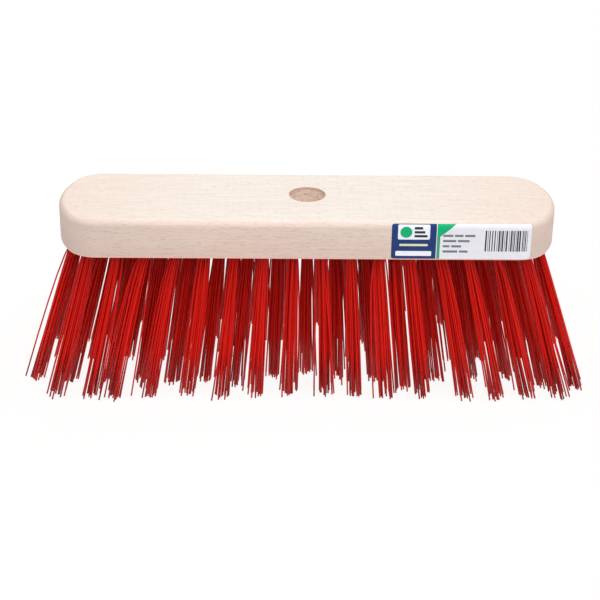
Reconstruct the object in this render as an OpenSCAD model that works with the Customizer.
// Head of a push broom. A flat wooden block, drilled from below in staggered
// rows, holds tufts of stiff nylon. Each tuft is folded over a short flat wire
// that bites into the wood at the bottom of its hole. The holes are drilled
// at an angle, so that the tufts fan out. A round socket in the top takes
// the handle, and a paper label is stuck to the front.
//
// The tips of the tufts stand on z = 0, the block runs along X,
// and the front faces -Y. All sizes are in millimetres.

/* [Block] */
// Length of the block from end to end
block_length = 295; // [250:5:400]
// Width of the block from front to back
block_width = 72; // [70:1:80]
// Thickness of the block
block_thickness = 24; // [23:0.5:30]
// Radius of the wide curve across each end
end_radius = 52; // [48:1:60]
// Radius of the four corners between the end curves and the long sides
corner_radius = 20; // [18:1:22]
// Rounding along the top edge
top_edge_radius = 4; // [2:0.5:5]
// Rounding along the bottom edge
bottom_edge_radius = 1; // [0.5:0.25:1.5]

/* [Handle socket] */
// Diameter of the handle socket
socket_diameter = 22; // [20:0.5:24]
// Depth of the handle socket
socket_depth = 18; // [14:1:20]
// Distance of the socket behind the middle of the block
socket_offset = 3.5; // [0:0.5:4]

/* [Tufts] */
// Columns of tufts, front and back rows and middle row in every second one
columns = 33; // [25:2:37]
// Distance between neighbouring rows of tuft holes
row_gap = 14; // [12:0.5:14.5]
// Distance from the last tuft hole to the end of the block
end_inset = 10.5; // [9:0.5:14]
// Diameter of a tuft hole
hole_diameter = 6; // [5:0.25:6]
// Depth of a tuft hole along its own axis
hole_depth = 13; // [11:0.5:14]
// Height of the underside of the block above the trimmed tips
bristle_height = 87; // [60:1:120]
// Width across a tuft where it meets the floor
tuft_spread = 15; // [9:0.5:16]
// Outward lean of the last tufts along the block, in degrees
end_lean = 16; // [5:1:20]
// Outward lean of the front and back rows, in degrees
side_lean = 12; // [5:1:16]

/* [Wire anchors] */
// Length of the flat wire laid across a tuft hole
wire_length = 6.8; // [6.4:0.1:7]
// Thickness of the flat wire
wire_thickness = 0.4; // [0.3:0.05:0.6]
// Width of the flat wire, measured along the tuft hole
wire_width = 2.4; // [1.6:0.1:3]

/* [Label] */
// Length of the label along the block
label_length = 81.4; // [60:0.2:90]
// Distance from the label to the end of the straight side
label_wrap = 6.7; // [1:0.1:8]
// Height of the label's lower edge above the underside of the block
label_lift = 1.1; // [1:0.1:4]
// Thickness of the label paper
paper_thickness = 0.15; // [0.1:0.05:0.3]

/* [Hidden] */
$fn = 96;

// Block outline: each end is one wide arc that blends into two corner arcs.
block_top = bristle_height + block_thickness;
end_x = block_length / 2 - end_radius;
corner_y = block_width / 2 - corner_radius;
corner_x = end_x + sqrt(pow(end_radius - corner_radius, 2) - pow(corner_y, 2));
blend_angle = asin(corner_y / (end_radius - corner_radius));
corner_steps = 15;
end_steps = 20;
bottom_edge_steps = 3;
top_edge_steps = 8;

// Tuft layout: rows count from the front, columns from the left.
rows = 5;
middle_row = (rows + 1) / 2;
middle_column = (columns + 1) / 2;
last_tuft_x = block_length / 2 - end_inset;
column_gap = last_tuft_x / (middle_column - 1);
last_row_y = (rows - middle_row) * row_gap;
socket_wall = 2.5;
socket_overcut = 1;

// Fit of a tuft in its hole: a little play all round, and some above the fold.
tuft_play = 0.1;
fold_play = 0.2;
fold_thickness = 2.6;

// Tufts are drawn longer than the drop to the floor, then trimmed level.
trim_allowance = 1.2;

// The label follows the rounding of the top edge part of the way round.
glue_thickness = 0.05;
label_over_edge = 45;
label_start = corner_x - label_length + label_wrap;
label_wrap_angle = label_wrap / corner_radius * 180 / PI;

function column_x(column) = (column - middle_column) * column_gap;
function row_y(row) = (row - middle_row) * row_gap;
function lean_x(x) = end_lean * x / last_tuft_x;
function lean_y(y) = side_lean * y / last_row_y;

// Tufts stand on a staggered grid, and none is drilled into the handle socket.
function is_staggered(column, row) = (column + row) % 2 == 1;
function clears_socket(x, y) =
    norm([x, y - socket_offset]) > (socket_diameter + hole_diameter) / 2 + socket_wall;
function has_tuft(column, row) =
    is_staggered(column, row) && clears_socket(column_x(column), row_y(row));
function rows_in(column) = [for (row = [1:rows]) if (has_tuft(column, row)) row];
function columns_in(row) = [for (column = [1:columns]) if (has_tuft(column, row)) column];

function two_digits(n) = n < 10 ? str("0", n) : str(n);
function tuft_node(column) = str("tufts_column_", two_digits(column));
function anchor_node(row) = str("wire_anchors_row_", row);

// Points along an arc, without its last one.
function arc_points(centre_x, centre_y, radius, from_angle, to_angle, steps) =
    [for (i = [0:steps - 1])
        let (angle = from_angle + (to_angle - from_angle) * i / steps)
            [centre_x + radius * cos(angle), centre_y + radius * sin(angle)]];

// Half of the block's outline, drawn in from the side wall by an inset.
function end_outline(inset) = concat(
    arc_points(corner_x, -corner_y, corner_radius - inset, -90, -blend_angle, corner_steps),
    arc_points(end_x, 0, end_radius - inset, -blend_angle, blend_angle, end_steps),
    arc_points(corner_x, corner_y, corner_radius - inset, blend_angle, 90, corner_steps),
    [[corner_x, block_width / 2 - inset]]
);
function block_outline(inset) = concat(end_outline(inset), -end_outline(inset));

// The inset and height of each level, up the rounded bottom edge and over the top one.
function bottom_edge_levels() =
    [for (i = [0:bottom_edge_steps])
        let (angle = 90 * i / bottom_edge_steps)
            bottom_edge_radius * [1 - sin(angle), 1 - cos(angle)]];
function top_edge_levels() =
    [for (i = [0:top_edge_steps])
        let (angle = 90 * i / top_edge_steps)
            [0, block_thickness] - top_edge_radius * [cos(angle) - 1, 1 - sin(angle)]];

// The undrilled block: one ring of points per level, joined by four-sided faces.
module blank() {
    levels = concat(bottom_edge_levels(), top_edge_levels());
    ring_size = len(block_outline(0));
    last_ring = (len(levels) - 1) * ring_size;
    points = [for (level = levels) for (p = block_outline(level[0])) [p.x, p.y, level[1]]];
    walls = [for (k = [0:len(levels) - 2]) for (i = [0:ring_size - 1])
        let (lower = k * ring_size, upper = lower + ring_size, next = (i + 1) % ring_size)
            [lower + i, upper + i, upper + next, lower + next]];
    underside = [for (i = [0:ring_size - 1]) i];
    top_face = [for (i = [ring_size - 1:-1:0]) last_ring + i];
    polyhedron(points, concat([underside], walls, [top_face]));
}

// Places a child at a tuft's mouth, with +Z running up into its hole.
module at_tuft(column, row) {
    x = column_x(column);
    y = row_y(row);
    translate([x, y, bristle_height])
        rotate([lean_y(y), -lean_x(x), 0])
            children();
}

// A hole starts below the surface, so that its slanted mouth is cut clean.
module tuft_hole() {
    translate([0, 0, -hole_diameter])
        cylinder(d = hole_diameter, h = hole_depth + hole_diameter);
}

// Flat wire on edge across the hole, under the fold of the tuft.
module wire_anchor() {
    fold_top = hole_depth - fold_play;
    translate([-wire_length / 2, -wire_thickness / 2, fold_top - fold_thickness - wire_width])
        cube([wire_length, wire_thickness, wire_width]);
}

// A tuft fills its hole and spreads evenly from the mouth to the floor.
module tuft() {
    shank_radius = hole_diameter / 2 - tuft_play;
    reach = bristle_height * trim_allowance;
    spread_radius = shank_radius + (tuft_spread / 2 - shank_radius) * reach / bristle_height;
    rotate_extrude()
        polygon([
            [0, hole_depth - fold_play],
            [shank_radius, hole_depth - fold_play],
            [shank_radius, 0],
            [spread_radius, -reach],
            [0, -reach]
        ]);
}

module block() {
    color("bisque")
        difference() {
            translate([0, 0, bristle_height])
                blank();
            translate([0, socket_offset, block_top - socket_depth])
                cylinder(d = socket_diameter, h = socket_depth + socket_overcut);
            for (row = [1:rows])
                for (column = columns_in(row))
                    at_tuft(column, row) {
                        tuft_hole();
                        wire_anchor();
                    }
        }
}

// Thin section of the label on the wall and over the rounded top edge.
module label_section() {
    edge_z = block_thickness - top_edge_radius;
    inner_radius = top_edge_radius + glue_thickness;
    outer_radius = inner_radius + paper_thickness;
    translate([glue_thickness, label_lift])
        square([paper_thickness, edge_z - label_lift]);
    translate([-top_edge_radius, edge_z])
        intersection() {
            difference() {
                circle(outer_radius);
                circle(inner_radius);
            }
            polygon([
                [0, 0],
                [2 * outer_radius, 0],
                [2 * outer_radius, 2 * outer_radius * tan(label_over_edge)]
            ]);
        }
}

module label() {
    color("navy")
        translate([0, 0, bristle_height]) {
            translate([corner_x, -block_width / 2, 0])
                rotate([90, 0, -90])
                    linear_extrude(corner_x - label_start)
                        label_section();
            translate([corner_x, -corner_y, 0])
                rotate([0, 0, -90])
                    rotate_extrude(angle = label_wrap_angle)
                        translate([corner_radius, 0])
                            label_section();
        }
}

module tuft_column(column) {
    color("red")
        difference() {
            for (row = rows_in(column))
                at_tuft(column, row)
                    difference() {
                        tuft();
                        wire_anchor();
                    }
            translate([-block_length, -block_width * 2, -bristle_height])
                cube([2 * block_length, 4 * block_width, bristle_height]);
        }
}

module wire_anchor_row(row) {
    color("silver")
        for (column = columns_in(row))
            at_tuft(column, row)
                wire_anchor();
}

block();
label();
for (column = [1:columns])
    tuft_column(column);
for (row = [1:rows])
    wire_anchor_row(row);
